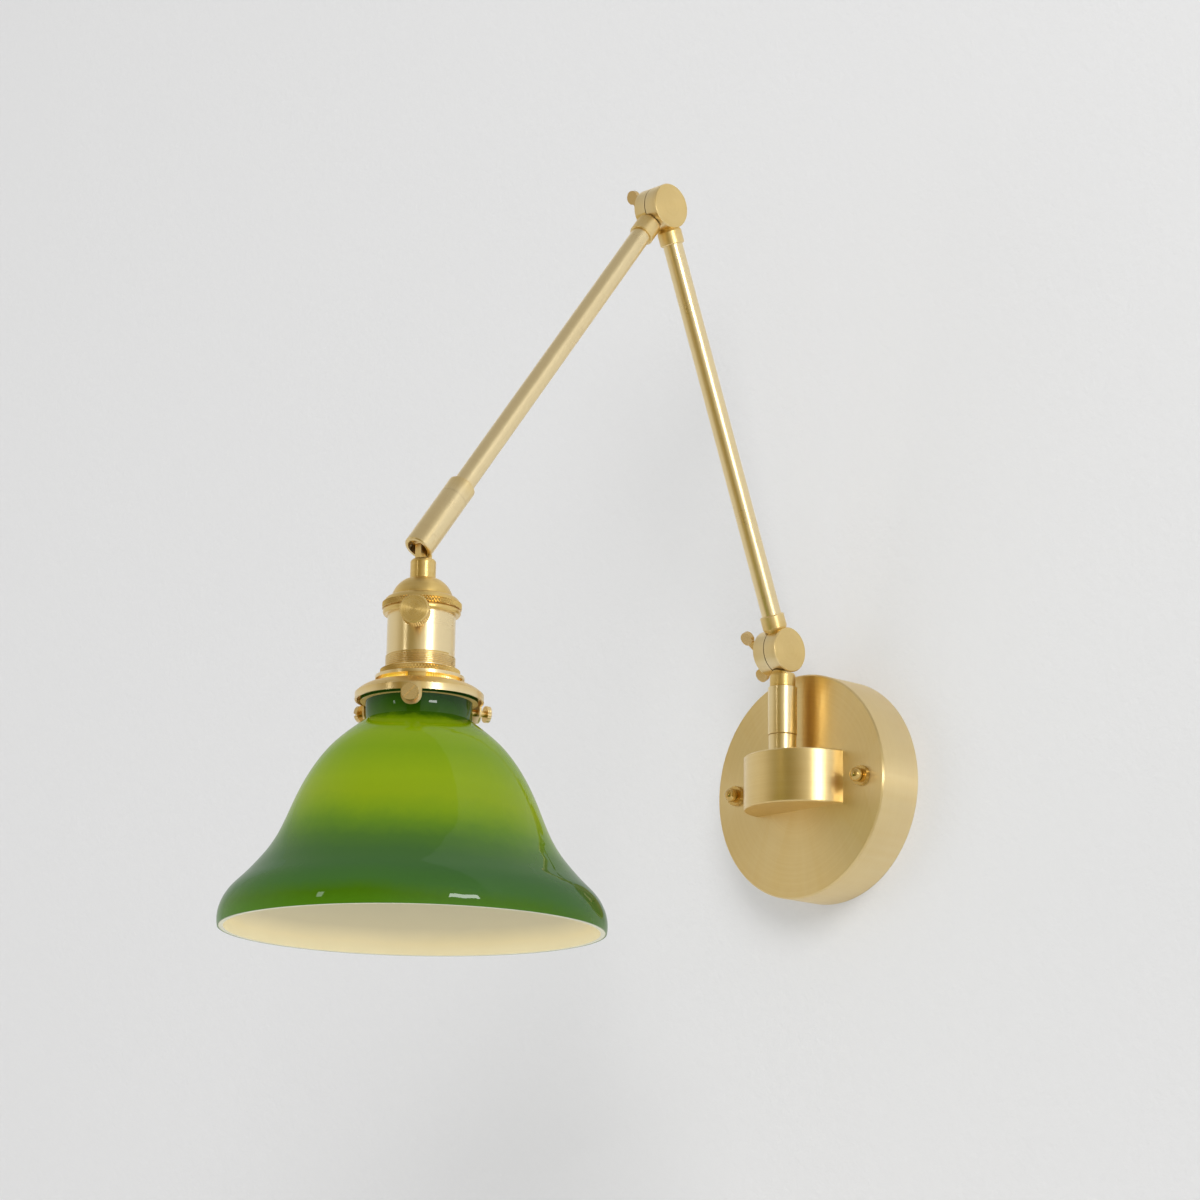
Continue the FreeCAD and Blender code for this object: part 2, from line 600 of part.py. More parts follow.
def make_swivel():
    """The sleeve turns on the arm's nipple. Its open end holds the lamp head's tongue on a pin,
    and a slot in its wall-side wall lets the tongue tilt back."""
    start = UPPER_LENGTH + SWIVEL_OVERHANG - SWIVEL_L
    sleeve = lathe([(NIPPLE_R + RUN, 0), (SWIVEL_R, 0), (SWIVEL_R, SWIVEL_L - SWIVEL_EDGE),
                    (SWIVEL_R - SWIVEL_EDGE, SWIVEL_L), (SWIVEL_CAVITY_R, SWIVEL_L),
                    (SWIVEL_CAVITY_R, SWIVEL_WEB_L), (NIPPLE_R + RUN, SWIVEL_WEB_L)],
                   V(UPPER_X, 0, start))
    slot_w = TONGUE_T + 2 * SLOT_GAP
    slot_from = UPPER_LENGTH - TONGUE_END_R - SLOT_GAP
    back = Part.makeBox(slot_w, 2 * SWIVEL_R, SWIVEL_L, V(UPPER_X - slot_w / 2, -2 * SWIVEL_R, slot_from))
    pin_hole = Part.makeCylinder(PIVOT_PIN_R + FIT, 2 * SWIVEL_R, V(UPPER_X - SWIVEL_R, 0, UPPER_LENGTH),
                                 X_AXIS)
    save("swivel_sleeve", placed(sleeve.cut([back, pin_hole]), UPPER_FRAME))
    pin_l = 2 * (SWIVEL_R - FACE_GAP)
    pin = Part.makeCylinder(PIVOT_PIN_R, pin_l, V(UPPER_X - pin_l / 2, 0, UPPER_LENGTH), X_AXIS)
    save("pivot_pin", placed(pin, UPPER_FRAME))


# ---------------------------------------------------------------- lamp holder

NECK_BOTTOM = -NECK_DROP - NECK_L
CAP_DOME_FOOT = NECK_BOTTOM - CAP_DOME_H
CAP_RING_TOP = CAP_DOME_FOOT - CAP_SHOULDER_H
BEAD_BOTTOM = CAP_RING_TOP - CAP_RING_H - CAP_BEAD_H
SHELL_BOTTOM = BEAD_BOTTOM - SHELL_L
CORE_TOP = BEAD_BOTTOM + SHELL_TUCK - CORE_TOP_GAP
CORE_BOTTOM = CORE_TOP - CORE_H
LINER_R = SHELL_R - SHELL_WALL - FIT
CORE_R = LINER_R - LINER_WALL - FIT
KNOB_Z = BEAD_BOTTOM - KNOB_DROP
PLATE_TOP = -PLATE_DROP
VENT_TOP = PLATE_TOP - PLATE_T
VENT_BOTTOM = VENT_TOP - VENT_H
BAND_TOP = VENT_BOTTOM - DOME_H
BAND_BOTTOM = BAND_TOP - BAND_H
EAR_Z = BAND_BOTTOM - EAR_DROP
LIP_BOTTOM = EAR_Z + GRUB_R + SEAT_GAP


def make_neck():
    """A round neck with a tongue above it that tilts on the pin, and two holes for the leads."""
    spigot_end = NECK_BOTTOM - NECK_SPIGOT_H
    rounding = NECK_OUT_R - 0.25 * (NECK_OUT_R - NECK_TOP_R)
    neck = lathe([(0, spigot_end), (NECK_TOP_R, spigot_end), (NECK_TOP_R, NECK_BOTTOM),
                  (NECK_OUT_R, NECK_BOTTOM), (NECK_OUT_R, -NECK_DROP - NECK_BEVEL_H),
                  ("arc", (rounding, -NECK_DROP - 0.3 * NECK_BEVEL_H), (NECK_TOP_R, -NECK_DROP)),
                  (0, -NECK_DROP)])
    blade = Part.makeBox(TONGUE_T, TONGUE_W, NECK_DROP + 1, V(-TONGUE_T / 2, -TONGUE_W / 2, -NECK_DROP - 1))
    eye = Part.makeCylinder(TONGUE_END_R, TONGUE_T, V(-TONGUE_T / 2, 0, 0), X_AXIS)
    solid = neck.fuse([blade, eye])
    pin = Part.makeCylinder(PIVOT_PIN_R + RUN, TONGUE_T, V(-TONGUE_T / 2, 0, 0), X_AXIS)
    holes = [Part.makeCylinder(WIRE_R + WIRE_HOLE_GAP, -spigot_end, V(x, 0, spigot_end))
             for x in lead_places()]
    return solid.cut(holes + [pin])


def lead_places():
    x = TONGUE_T / 2 + WIRE_R + WIRE_HOLE_GAP
    return (-x, x)


def make_cap():
    """A domed cap on a rounded shoulder, with a knurled band and a half-round bead below it."""
    top, foot, low = NECK_BOTTOM, CAP_DOME_FOOT, CAP_RING_TOP
    band_r = CAP_R - KNURL_DEPTH
    inner = band_r - CAP_WALL
    bore = NECK_TOP_R + FIT
    under = foot - CAP_WALL
    dome = lathe([(bore, top), (NECK_OUT_R + CAP_WALL, top),
                  ("arc", (0.83 * CAP_DOME_R, top - 0.41 * CAP_DOME_H), (CAP_DOME_R, foot)),
                  (CAP_DOME_R + CAP_WALL, foot - CAP_WALL / 3),
                  ("arc", (0.94 * band_r, foot - 0.42 * CAP_SHOULDER_H), (band_r, low)),
                  (band_r, low - 1), (inner, low - 1), (inner, low),
                  ("arc", (0.93 * inner, foot - 0.62 * CAP_SHOULDER_H), (CAP_DOME_R, under)),
                  (CAP_DOME_R - CAP_WALL, under),
                  ("arc", (0.81 * CAP_DOME_R - CAP_WALL, top - 0.47 * CAP_DOME_H), (bore, top - CAP_WALL))])
    ring_base = V(0, 0, BEAD_BOTTOM + CAP_BEAD_H)
    knurl = knurled(CAP_R, KNURL_DEPTH, CAP_TEETH, CAP_RING_H, ring_base)
    bead_mid = BEAD_BOTTOM + CAP_BEAD_H / 2
    bead = lathe([(SHELL_R + FIT, BEAD_BOTTOM), (band_r - KNURL_DEPTH, BEAD_BOTTOM),
                  ("arc", (CAP_R, bead_mid), (band_r - KNURL_DEPTH, BEAD_BOTTOM + CAP_BEAD_H)),
                  (SHELL_R + FIT, BEAD_BOTTOM + CAP_BEAD_H)])
    knurl = knurl.cut(Part.makeCylinder(inner, CAP_RING_H, ring_base))
    collar = ring(inner + CAP_WALL / 2, SHELL_R + FIT, SHELL_TUCK, ring_base - V(0, 0, CAP_BEAD_H))
    return dome.fuse([knurl, bead, collar])


def knob_hole(radius, start, end):
    way = facing(KNOB_TURN)
    return Part.makeCylinder(radius, end - start, way * start + V(0, 0, KNOB_Z), way)


def make_shell():
    """A thin brass sleeve, threaded lower down for the two lock rings."""
    top = BEAD_BOTTOM + SHELL_TUCK
    sleeve = ring(SHELL_R, SHELL_R - SHELL_WALL, top - SHELL_BOTTOM, V(0, 0, SHELL_BOTTOM))
    return sleeve.cut(knob_hole(SHAFT_R + HOLE_GAP, 0, 2 * SHELL_R))


def make_liner():
    top = CORE_TOP
    length = SHELL_L - SHELL_TUCK
    sleeve = ring(LINER_R, LINER_R - LINER_WALL, length, V(0, 0, top - length))
    return sleeve.cut(knob_hole(SHAFT_R + HOLE_GAP, 0, 2 * SHELL_R))


def make_core():
    """The moulded switch body, with a pocket for the cam and two terminal holes."""
    core = lathe([(0, CORE_BOTTOM), (CORE_R, CORE_BOTTOM), (CORE_R, CORE_TOP - 1),
                  (CORE_R - 1, CORE_TOP), (0, CORE_TOP)])
    cutters = [knob_hole(SHAFT_R + RUN, 0, 2 * SHELL_R), knob_hole(CAM_R + HOLE_GAP, -CAM_L, CAM_L)]
    for side in (0, 180):
        spot = facing(KNOB_TURN + TERMINAL_TURN + side) * TERMINAL_RADIUS
        cutters.append(Part.makeCylinder(TERMINAL_R + FIT, CORE_H, spot + V(0, 0, CORE_BOTTOM)))
    contact_spot = V(0, 0, CORE_BOTTOM - 1)
    cutters.append(Part.makeCylinder(TERMINAL_R, 3, contact_spot))
    return core.cut(cutters)


def make_terminal(side):
    spot = facing(KNOB_TURN + TERMINAL_TURN + side) * TERMINAL_RADIUS
    shank = Part.makeCylinder(TERMINAL_R, CORE_H / 2, spot + V(0, 0, CORE_TOP - CORE_H / 2))
    return shank.fuse(Part.makeCylinder(1.7 * TERMINAL_R, 1.2, spot + V(0, 0, CORE_TOP)))


def make_screw_shell():
    """The thin cup that takes the bulb's cap."""
    cup = Part.makeCylinder(SCREW_SHELL_R, SCREW_SHELL_L, V(0, 0, CORE_BOTTOM - SCREW_SHELL_L))
    inner_r = SCREW_SHELL_R - SCREW_SHELL_WALL
    cup = cup.cut(Part.makeCylinder(inner_r, SCREW_SHELL_L, V(0, 0, CORE_BOTTOM - SCREW_SHELL_L
                                                             - SCREW_SHELL_WALL)))
    return cup.cut(Part.makeCylinder(CONTACT_R + 2, SCREW_SHELL_L, V(0, 0, CORE_BOTTOM - SCREW_SHELL_L / 2)))


def make_contact():
    """The sprung centre contact: a leaf with a peg in the core."""
    leaf = lathe([(0, CORE_BOTTOM - CONTACT_T), (CONTACT_R, CORE_BOTTOM - CONTACT_T),
                  (CONTACT_R, CORE_BOTTOM), (TERMINAL_R - FIT, CORE_BOTTOM),
                  (TERMINAL_R - FIT, CORE_BOTTOM + 1.8), (0, CORE_BOTTOM + 1.8)])
    return leaf


def make_lock_ring(top):
    base = V(0, 0, top - RING_H)
    return knurled(RING_R, KNURL_DEPTH, RING_TEETH, RING_H, base).cut(
        Part.makeCylinder(SHELL_R + FIT, RING_H, base))


# ---------------------------------------------------------------- switch and shade screws

def make_switch():
    way = facing(KNOB_TURN)
    base = way * KNOB_START + V(0, 0, KNOB_Z)
    rim = knurled(KNOB_R, KNURL_DEPTH, KNOB_TEETH, KNOB_L - 4 * KNOB_EDGE, base + way * 3 * KNOB_EDGE, way)
    r = KNOB_R - KNURL_DEPTH
    core = lathe([(0, 0), (r - 3 * KNOB_EDGE, 0), (r, 3 * KNOB_EDGE), (r, KNOB_L - KNOB_EDGE),
                  (r - KNOB_EDGE, KNOB_L), (0, KNOB_L)], base, way)
    bore = Part.makeCylinder(SHAFT_R + FIT, KNOB_L - KNOB_FLOOR, base, way)
    knob = core.fuse(rim).cut(bore)
    shaft_start = CAM_L - SEAT_GAP
    shaft_end = KNOB_START + KNOB_L - KNOB_FLOOR - SEAT_GAP
    shaft = Part.makeCylinder(SHAFT_R, shaft_end - shaft_start, way * shaft_start + V(0, 0, KNOB_Z), way)
    cam_end = CAM_L - SEAT_GAP
    cam = Part.makeCylinder(CAM_R, 2 * cam_end, V(0, 0, KNOB_Z) - way * cam_end, way)
    save("switch_knob", placed(knob, HEAD_FRAME))
    save("switch_shaft", placed(shaft, HEAD_FRAME))
    save("switch_cam", placed(cam, HEAD_FRAME))


def ear_turns():
    return [EAR_TURN + i * 360 / EARS for i in range(EARS)]


def make_shade_screw(turn):
    """A slotted thumbscrew whose tip stops just short of the glass neck."""
    way = facing(turn)
    tip = NECK_GLASS_R + SEAT_GAP
    shank = Part.makeCylinder(GRUB_R, GRUB_HEAD_START - tip + 0.5, way * tip + V(0, 0, EAR_Z), way)
    head_base = way * GRUB_HEAD_START + V(0, 0, EAR_Z)
    head = knurled(GRUB_HEAD_R, KNURL_DEPTH / 2, GRUB_TEETH, GRUB_HEAD_T, head_base, way)
    slot = Part.makeBox(GRUB_SLOT, 3 * GRUB_HEAD_R, GRUB_HEAD_T,
                        V(-GRUB_SLOT / 2, -1.5 * GRUB_HEAD_R, GRUB_HEAD_T / 2))
    slot.Placement = FreeCAD.Placement(head_base, FreeCAD.Rotation(Z_AXIS, way))
    return shank.fuse(head).cut(slot)


# ---------------------------------------------------------------- shade holder and glass

def make_gallery():
    """A plate on bridges over the vents, a shallow dome, a straight band and three ears."""
    inner = BAND_R - BAND_T
    bulge_r = DOME_TOP_R + 0.56 * (BAND_R - DOME_TOP_R)
    bulge_z = BAND_TOP + 0.67 * DOME_H
    shell = lathe([(inner, BAND_BOTTOM), (BAND_R, BAND_BOTTOM), (BAND_R, BAND_TOP),
                   ("arc", (bulge_r, bulge_z), (DOME_TOP_R, VENT_BOTTOM)),
                   (DOME_TOP_R - BAND_T, VENT_BOTTOM), (DOME_TOP_R - BAND_T, VENT_BOTTOM - BAND_T),
                   ("arc", (bulge_r - BAND_T / 2, bulge_z - BAND_T), (inner, BAND_TOP - BAND_T / 2))])
    plate = ring(PLATE_R, SHELL_R + HOLE_GAP, PLATE_T, V(0, 0, VENT_TOP))
    lap = V(0, 0, BRIDGE_LAP)
    wall = ring(DOME_TOP_R, DOME_TOP_R - BAND_T, VENT_H + 2 * BRIDGE_LAP, V(0, 0, VENT_BOTTOM) - lap)
    wide = 2 * DOME_TOP_R * math.sin(math.radians(BRIDGE_ANGLE / 2))
    bridges = []
    for i in range(BRIDGES):
        block = Part.makeBox(wide, 2 * DOME_TOP_R, 2 * VENT_H, V(-wide / 2, -2 * DOME_TOP_R, VENT_BOTTOM) - lap)
        block.rotate(V(0, 0, 0), Z_AXIS, BRIDGE_TURN + i * 360 / BRIDGES)
        bridges.append(wall.common(block))
    body = shell.fuse([plate] + bridges)
    skin = ring(BAND_R, inner, BAND_TOP - EAR_Z + 2 * EAR_R, V(0, 0, EAR_Z - 2 * EAR_R))
    holes = []
    for turn in ear_turns():
        way = facing(turn)
        across = V(way.y, -way.x, 0) * EAR_R
        centre = V(0, 0, EAR_Z)
        lobe = Part.makeCylinder(EAR_R, 2 * BAND_R, centre, way)
        rise = V(0, 0, EAR_DROP + BAND_T)
        web = Part.Face(Part.makePolygon([centre - across, centre + across, centre + across + rise,
                                          centre - across + rise, centre - across]))
        body = body.fuse(lobe.fuse(web.extrude(way * 2 * BAND_R)).common(skin))
        holes.append(Part.makeCylinder(GRUB_R + RUN, 2 * BAND_R, centre, way))
    return body.cut(holes).removeSplitter()


def bell_curve(neck_r, rim_r, foot, rim):
    """The bell below its neck: a full shoulder, straighter sides, a flare, then down to the rim.

    Each corner is a share of the rim's radius and of the drop from the neck's foot to the rim.
    """
    shares = [(0.367, 0.062), (0.444, 0.125), (0.520, 0.210), (0.580, 0.300), (0.632, 0.400),
              (0.699, 0.545), (0.752, 0.630), (0.812, 0.700), (0.893, 0.780), (0.945, 0.828),
              (0.984, 0.885), (1.0, 1.0)]
    return [("curve",) + tuple((share_r * rim_r, foot - share_d * (foot - rim))
                               for share_r, share_d in shares)]


def bell(neck_r, rim_r, top, foot, rim, lip_r, lip_low):
    """A closed solid of revolution under the bell's curve, from its lip down to its rim."""
    outline = [(0, top), (lip_r, top), (lip_r, lip_low), (neck_r, lip_low), (neck_r, foot)]
    return lathe(outline + bell_curve(neck_r, rim_r, foot, rim) + [(0, rim)])


def make_shade():
    """Cased glass: one bell cut out of another, so that the wall keeps its thickness."""
    rim = -SHADE_DROP
    foot = LIP_BOTTOM - NECK_GLASS_L
    top = LIP_BOTTOM + LIP_T
    outer = bell(NECK_GLASS_R, SHADE_R, top, foot, rim, LIP_R, LIP_BOTTOM)
    inner_neck = NECK_GLASS_R - GLASS_T
    inner = bell(inner_neck, SHADE_R - GLASS_T, top + 1, foot - GLASS_T, rim - 1, inner_neck, top)
    return outer.cut(inner)


def make_bulb():
    tip = CORE_BOTTOM - CONTACT_T - FACE_GAP
    shoulder = tip - BULB_TIP_H
    cap_low = shoulder - BULB_CAP_L
    end = tip - BULB_L
    cap = lathe([(0, tip), (BULB_TIP_R, tip), (BULB_TIP_R + 2, shoulder), (BULB_CAP_R - 1, shoulder),
                 (BULB_CAP_R, shoulder - 1), (BULB_CAP_R, cap_low), (0, cap_low)])
    middle = end + BULB_R
    glass = lathe([(0, cap_low), (BULB_CAP_R - 0.5, cap_low), (BULB_NECK_R, cap_low - BULB_THROAT_H),
                   ("arc", (BULB_R * 0.80, middle + BULB_R * 0.66), (BULB_R, middle)),
                   ("arc", (BULB_R * math.sqrt(0.5), middle - BULB_R * math.sqrt(0.5)), (0, end))])
    return cap, glass


def make_head():
    bulb_cap, bulb_glass = make_bulb()
    ring_top = PLATE_TOP + RING_H
    pieces = {
        "socket_neck": [make_neck()],
        "socket_cap": [make_cap()],
        "socket_shell": [make_shell()],
        "shell_liner": [make_liner()],
        "socket_core": [make_core()],
        "terminal_screws": [make_terminal(0), make_terminal(180)],
        "screw_shell": [make_screw_shell()],
        "centre_contact": [make_contact()],
        "upper_lock_ring": [make_lock_ring(ring_top)],
        "lower_lock_ring": [make_lock_ring(VENT_TOP)],
        "gallery": [make_gallery()],
        "glass_shade": [make_shade()],
        "bulb_cap": [bulb_cap],
        "bulb_glass": [bulb_glass],
        "head_leads": [Part.makeCylinder(WIRE_R, CAP_RING_TOP - CORE_TOP + NECK_L + CAP_DOME_H - 2,
                                         V(x, 0, CORE_TOP + 1.5)) for x in lead_places()],
    }
    for node, solids in pieces.items():
        save(node, *[placed(s, HEAD_FRAME) for s in solids])
    for number, turn in enumerate(ear_turns(), 1):
        save("shade_screw_%d" % number, placed(make_shade_screw(turn), HEAD_FRAME))


os.makedirs("parts", exist_ok=True)
make_base()
make_stem()
make_lower_arm()
make_upper_arm()
make_swivel()
make_head()
make_switch()
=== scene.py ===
"""Looks of the two-arm wall sconce: satin brass, cased green glass and a lit frosted bulb."""
import json
import math

import bpy
from mathutils import Matrix, Vector


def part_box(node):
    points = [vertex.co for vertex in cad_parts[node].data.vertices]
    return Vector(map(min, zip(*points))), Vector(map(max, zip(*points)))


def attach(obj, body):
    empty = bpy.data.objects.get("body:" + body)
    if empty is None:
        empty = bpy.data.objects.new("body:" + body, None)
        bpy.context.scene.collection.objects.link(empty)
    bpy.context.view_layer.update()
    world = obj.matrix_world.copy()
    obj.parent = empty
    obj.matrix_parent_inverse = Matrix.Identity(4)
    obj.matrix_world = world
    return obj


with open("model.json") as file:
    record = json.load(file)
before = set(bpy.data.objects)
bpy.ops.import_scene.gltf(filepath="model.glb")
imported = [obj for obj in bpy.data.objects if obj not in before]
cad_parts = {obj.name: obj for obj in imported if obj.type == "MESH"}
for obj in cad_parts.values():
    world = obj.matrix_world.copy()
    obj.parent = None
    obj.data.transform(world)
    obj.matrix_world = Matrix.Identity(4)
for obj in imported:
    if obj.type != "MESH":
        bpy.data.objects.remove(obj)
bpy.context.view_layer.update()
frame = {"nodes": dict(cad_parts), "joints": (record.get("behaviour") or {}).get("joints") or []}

NODES = frame["nodes"]
JOINTS = {joint["name"]: joint for joint in frame["joints"]}

MM = 0.001
UP = Vector((0, 0, 1))
OUT = Vector((0, -1, 0))    # away from the wall
SIDE = Vector((1, 0, 0))

# Places and directions of the lines that the brass is turned or drawn about.
SHOULDER = Vector(JOINTS["shoulder"]["pos_m"])
ELBOW = Vector(JOINTS["elbow"]["pos_m"])
TILT = Vector(JOINTS["head_tilt"]["pos_m"])
KNOB_AXIS = Vector(JOINTS["switch_turn"]["axis"])
KNOB_PLACE = Vector(JOINTS["switch_turn"]["pos_m"])
UPPER_ARM = Vector(JOINTS["arm_end_swivel"]["axis"])
PLATE_CENTRE = Vector((0, 0, 0))
BLOCK_LINE = Vector((0, -23.1 * MM, 0))
STEM_LINE = Vector((0, SHOULDER.y, 0))
LOWER_LINE = SHOULDER + Vector((-1.0 * MM, 0, 0))
LOWER_ARM = (ELBOW - SHOULDER).normalized()


# ------------------------------------------------------------------ node helpers

class Nodes:
    """The node tree of a material or world, with short calls that add a node and link its inputs."""

    def __init__(self, owner):
        owner.use_nodes = True
        self.owner = owner
        self.tree = owner.node_tree
        self.tree.nodes.clear()

    def add(self, kind, settings=None, **inputs):
        """A new node. Inputs go by name, with _ for a space, or by number as i0, i1 and so on."""
        node = self.tree.nodes.new("ShaderNode" + kind)
        for key, value in (settings or {}).items():
            setattr(node, key, value)
        for key, value in inputs.items():
            self.feed(node, key, value)
        return node

    def feed(self, node, key, value):
        by_number = key[0] == "i" and key[1:].isdigit()
        socket = node.inputs[int(key[1:]) if by_number else key.replace("_", " ")]
        if isinstance(value, bpy.types.NodeSocket):
            self.tree.links.new(value, socket)
        else:
            socket.default_value = value

    def math(self, operation, a, b=0.0, clamp=False):
        settings = {"operation": operation, "use_clamp": clamp}
        return self.add("Math", settings, i0=a, i1=b).outputs[0]

    def vector(self, operation, a, b=(0, 0, 0)):
        node = self.add("VectorMath", {"operation": operation}, i0=a, i1=b)
        return node.outputs["Value" if operation == "DOT_PRODUCT" else 0]

    def point(self):
        return self.add("TexCoord").outputs["Object"]

    def split(self, vector):
        return self.add("SeparateXYZ", Vector=vector).outputs

    def combine(self, x, y, z):
        return self.add("CombineXYZ", i0=x, i1=y, i2=z).outputs[0]

    def distance(self, x, y):
        squares = self.math("ADD", self.math("MULTIPLY", x, x), self.math("MULTIPLY", y, y))
        return self.math("SQRT", squares)

    def azimuth(self, x, y):
        """Angle about the vertical, from straight out of the wall towards +X."""
        return self.math("ARCTAN2", x, self.math("MULTIPLY", y, -1.0))

    def remap(self, value, low, high, to_low, to_high):
        return self.add("MapRange", Value=value, From_Min=low, From_Max=high, To_Min=to_low,
                        To_Max=to_high).outputs[0]

    def spread(self, noise, to_low, to_high):
        """The usual range of a noise, stretched over another range."""
        return self.remap(noise, 0.3, 0.7, to_low, to_high)

    def ramp(self, fac, stops):
        node = self.add("ValToRGB", Fac=fac)
        elements = node.color_ramp.elements
        while len(elements) < len(stops):
            elements.new(0.5)
        for element, (place, colour) in zip(elements, stops):
            element.position = place
            element.color = colour if len(colour) == 4 else (*colour, 1)
        return node.outputs["Color"]

    def mix(self, fac, a, b):
        return self.add("Mix", {"data_type": "RGBA"}, i0=fac, i6=a, i7=b).outputs[2]

    def mix_shaders(self, fac, a, b):
        return self.add("MixShader", Fac=fac, i1=a, i2=b).outputs[0]

    def noise(self, vector, scale, detail=2.0, roughness=0.5):
        return self.add("TexNoise", Vector=vector, Scale=scale, Detail=detail,
                        Roughness=roughness).outputs["Fac"]

    def bump(self, height, strength, distance, normal=None):
        node = self.add("Bump", Height=height, Strength=strength, Distance=distance)
        if normal:
            self.feed(node, "Normal", normal)
        return node.outputs[0]

    def cylinder(self, place, axis):
        """Radius, angle and height of the shaded point about a line, in metres and radians."""
        local = self.vector("SUBTRACT", self.point(), tuple(place))
        turn = axis.rotation_difference(UP).to_euler()
        rotated = self.add("Mapping", Vector=local, Rotation=tuple(turn)).outputs[0]
        x, y, z = self.split(rotated)
        return self.distance(x, y), self.math("ARCTAN2", y, x), z

    def across_lines(self, place, axis):
        """Surface direction across finishing lines that run round a line."""
        local = self.vector("SUBTRACT", self.point(), tuple(place))
        around = self.vector("CROSS_PRODUCT", local, tuple(axis))
        return self.vector("CROSS_PRODUCT", around, self.add("NewGeometry").outputs["Normal"])

    def surface(self, shader, output="OutputMaterial"):
        self.tree.links.new(shader, self.add(output).inputs["Surface"])
        return self.owner


def new_material(name):
    return Nodes(bpy.data.materials.new(name))


def srgb(r, g, b):
    """Linear colour of 0-255 display values."""
    def linear(v):
        v /= 255
        return v / 12.92 if v <= 0.04045 else ((v + 0.055) / 1.055) ** 2.4
    return tuple(linear(v) for v in (r, g, b)) + (1,)


def give(material, *pieces):
    """Puts a material on CAD nodes, by name, or on new pieces."""
    for piece in pieces:
        target = NODES[piece] if isinstance(piece, str) else piece
        if not target.material_slots:
            target.data.materials.append(material)
        for slot in target.material_slots:
            slot.material = material


# ------------------------------------------------------------------ brass

BRASS_LIGHT = srgb(238, 208, 136)
BRASS_DEEP = srgb(226, 192, 114)
BRASS_LINE = srgb(244, 224, 176)      # the bright side of a finishing line
BRASS_EDGE = srgb(250, 236, 200)      # rubbed edges
# Darker brass for small pieces: partly their own tone, partly painted shade.
BRASS_DARKER_AND_SHADE = srgb(186, 146, 76)
BRASS_VALLEY_SHADE = srgb(202, 166, 94)     # painted shade between the crests of a knurl or thread
# Scales of the noises, in cells per metre: finishing lines, bands of them, clouds, grain.
LINE_SCALE, BAND_SCALE, CLOUD_SCALE, GRAIN_SCALE = 7000, 700, 38, 4200
LINE_LENGTH = 0.0002                  # how little a line changes on its way round, in metres
BAND_SHARE = 0.35                     # of the bands in the colour's drift; the rest is clouds


def brass(name, place, axis, roughness=0.36, stretch=0.5, lines=1.0, darker_and_shade=0.0, valley=None):
    """Satin brass, finished in fine lines that run round the axis.

    The lacquered face varies a little in colour and gloss. The lines stretch its highlights.
    darker_and_shade is the share of a darker brass, partly the pieces' own tone and partly painted
    shade. valley is the lowest and highest radius of a knurl or thread, and the brass is darker
    towards the lowest, as painted shade between the crests.
    """
    n = new_material(name)
    radius, angle, height = n.cylinder(place, axis)
    point = n.point()
    across = n.combine(radius, n.math("MULTIPLY", angle, LINE_LENGTH), height)
    streaks = n.noise(across, LINE_SCALE, 3.0, 0.6)
    bands = n.noise(across, BAND_SCALE, 2.0, 0.5)
    cloud = n.noise(point, CLOUD_SCALE, 4.0, 0.6)
    grain = n.noise(point, GRAIN_SCALE, 2.0, 0.5)
    edge = n.add("NewGeometry").outputs["Pointiness"]
    tone = n.math("ADD", n.math("MULTIPLY", bands, BAND_SHARE),
                  n.math("MULTIPLY", cloud, 1 - BAND_SHARE))
    colour = n.mix(n.remap(tone, 0.35, 0.66, 0, 1), BRASS_DEEP, BRASS_LIGHT)
    colour = n.mix(n.remap(streaks, 0.4, 0.75, 0, 0.25 * lines), colour, BRASS_LINE)
    colour = n.mix(n.remap(edge, 0.53, 0.62, 0, 0.6), colour, BRASS_EDGE)
    # Partly a darker brass, partly painted shade.
    colour = n.mix(darker_and_shade, colour, BRASS_DARKER_AND_SHADE)
    if valley:
        # Painted shade: darker towards the root of a knurl or thread.
        colour = n.mix(n.remap(radius, valley[0], valley[1], 0.5, 0), colour, BRASS_VALLEY_SHADE)
    rough = n.math("ADD", n.spread(streaks, -0.04 * lines, 0.04 * lines),
                   n.spread(cloud, -0.02, 0.03))
    rough = n.math("ADD", rough, roughness, True)
    normal = n.bump(streaks, 0.10 * lines, 0.04 * MM)
    normal = n.bump(grain, 0.04, 0.03 * MM, normal)
    shader = n.add("BsdfPrincipled", Base_Color=colour, Metallic=1.0, Roughness=rough,
                   Normal=normal, Anisotropic=stretch, Tangent=n.across_lines(place, axis))
    return n, shader


def satin(*place, **settings):
    n, shader = brass(*place, **settings)
    return n.surface(shader.outputs[0])


def painted_glow_ring_brass():
    """Brass of the ring that hangs in the vents, with a painted amber glow that stands in for the
    bulb's light from below.
    """
    n, shader = brass("painted_glow_ring_brass", TILT, UP)
    low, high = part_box("lower_lock_ring")
    glow = n.remap(n.split(n.point())[2], high.z, low.z, 0.35, 1.1)
    mottle = n.spread(n.noise(n.point(), 160, 2.0, 0.5), 0, 1)
    # Painted glow: amber emission, stronger towards the bottom of the ring.
    n.feed(shader, "Emission_Color", n.mix(mottle, srgb(222, 178, 4), srgb(252, 222, 40)))
    n.feed(shader, "Emission_Strength", glow)
    return n.surface(shader.outputs[0])


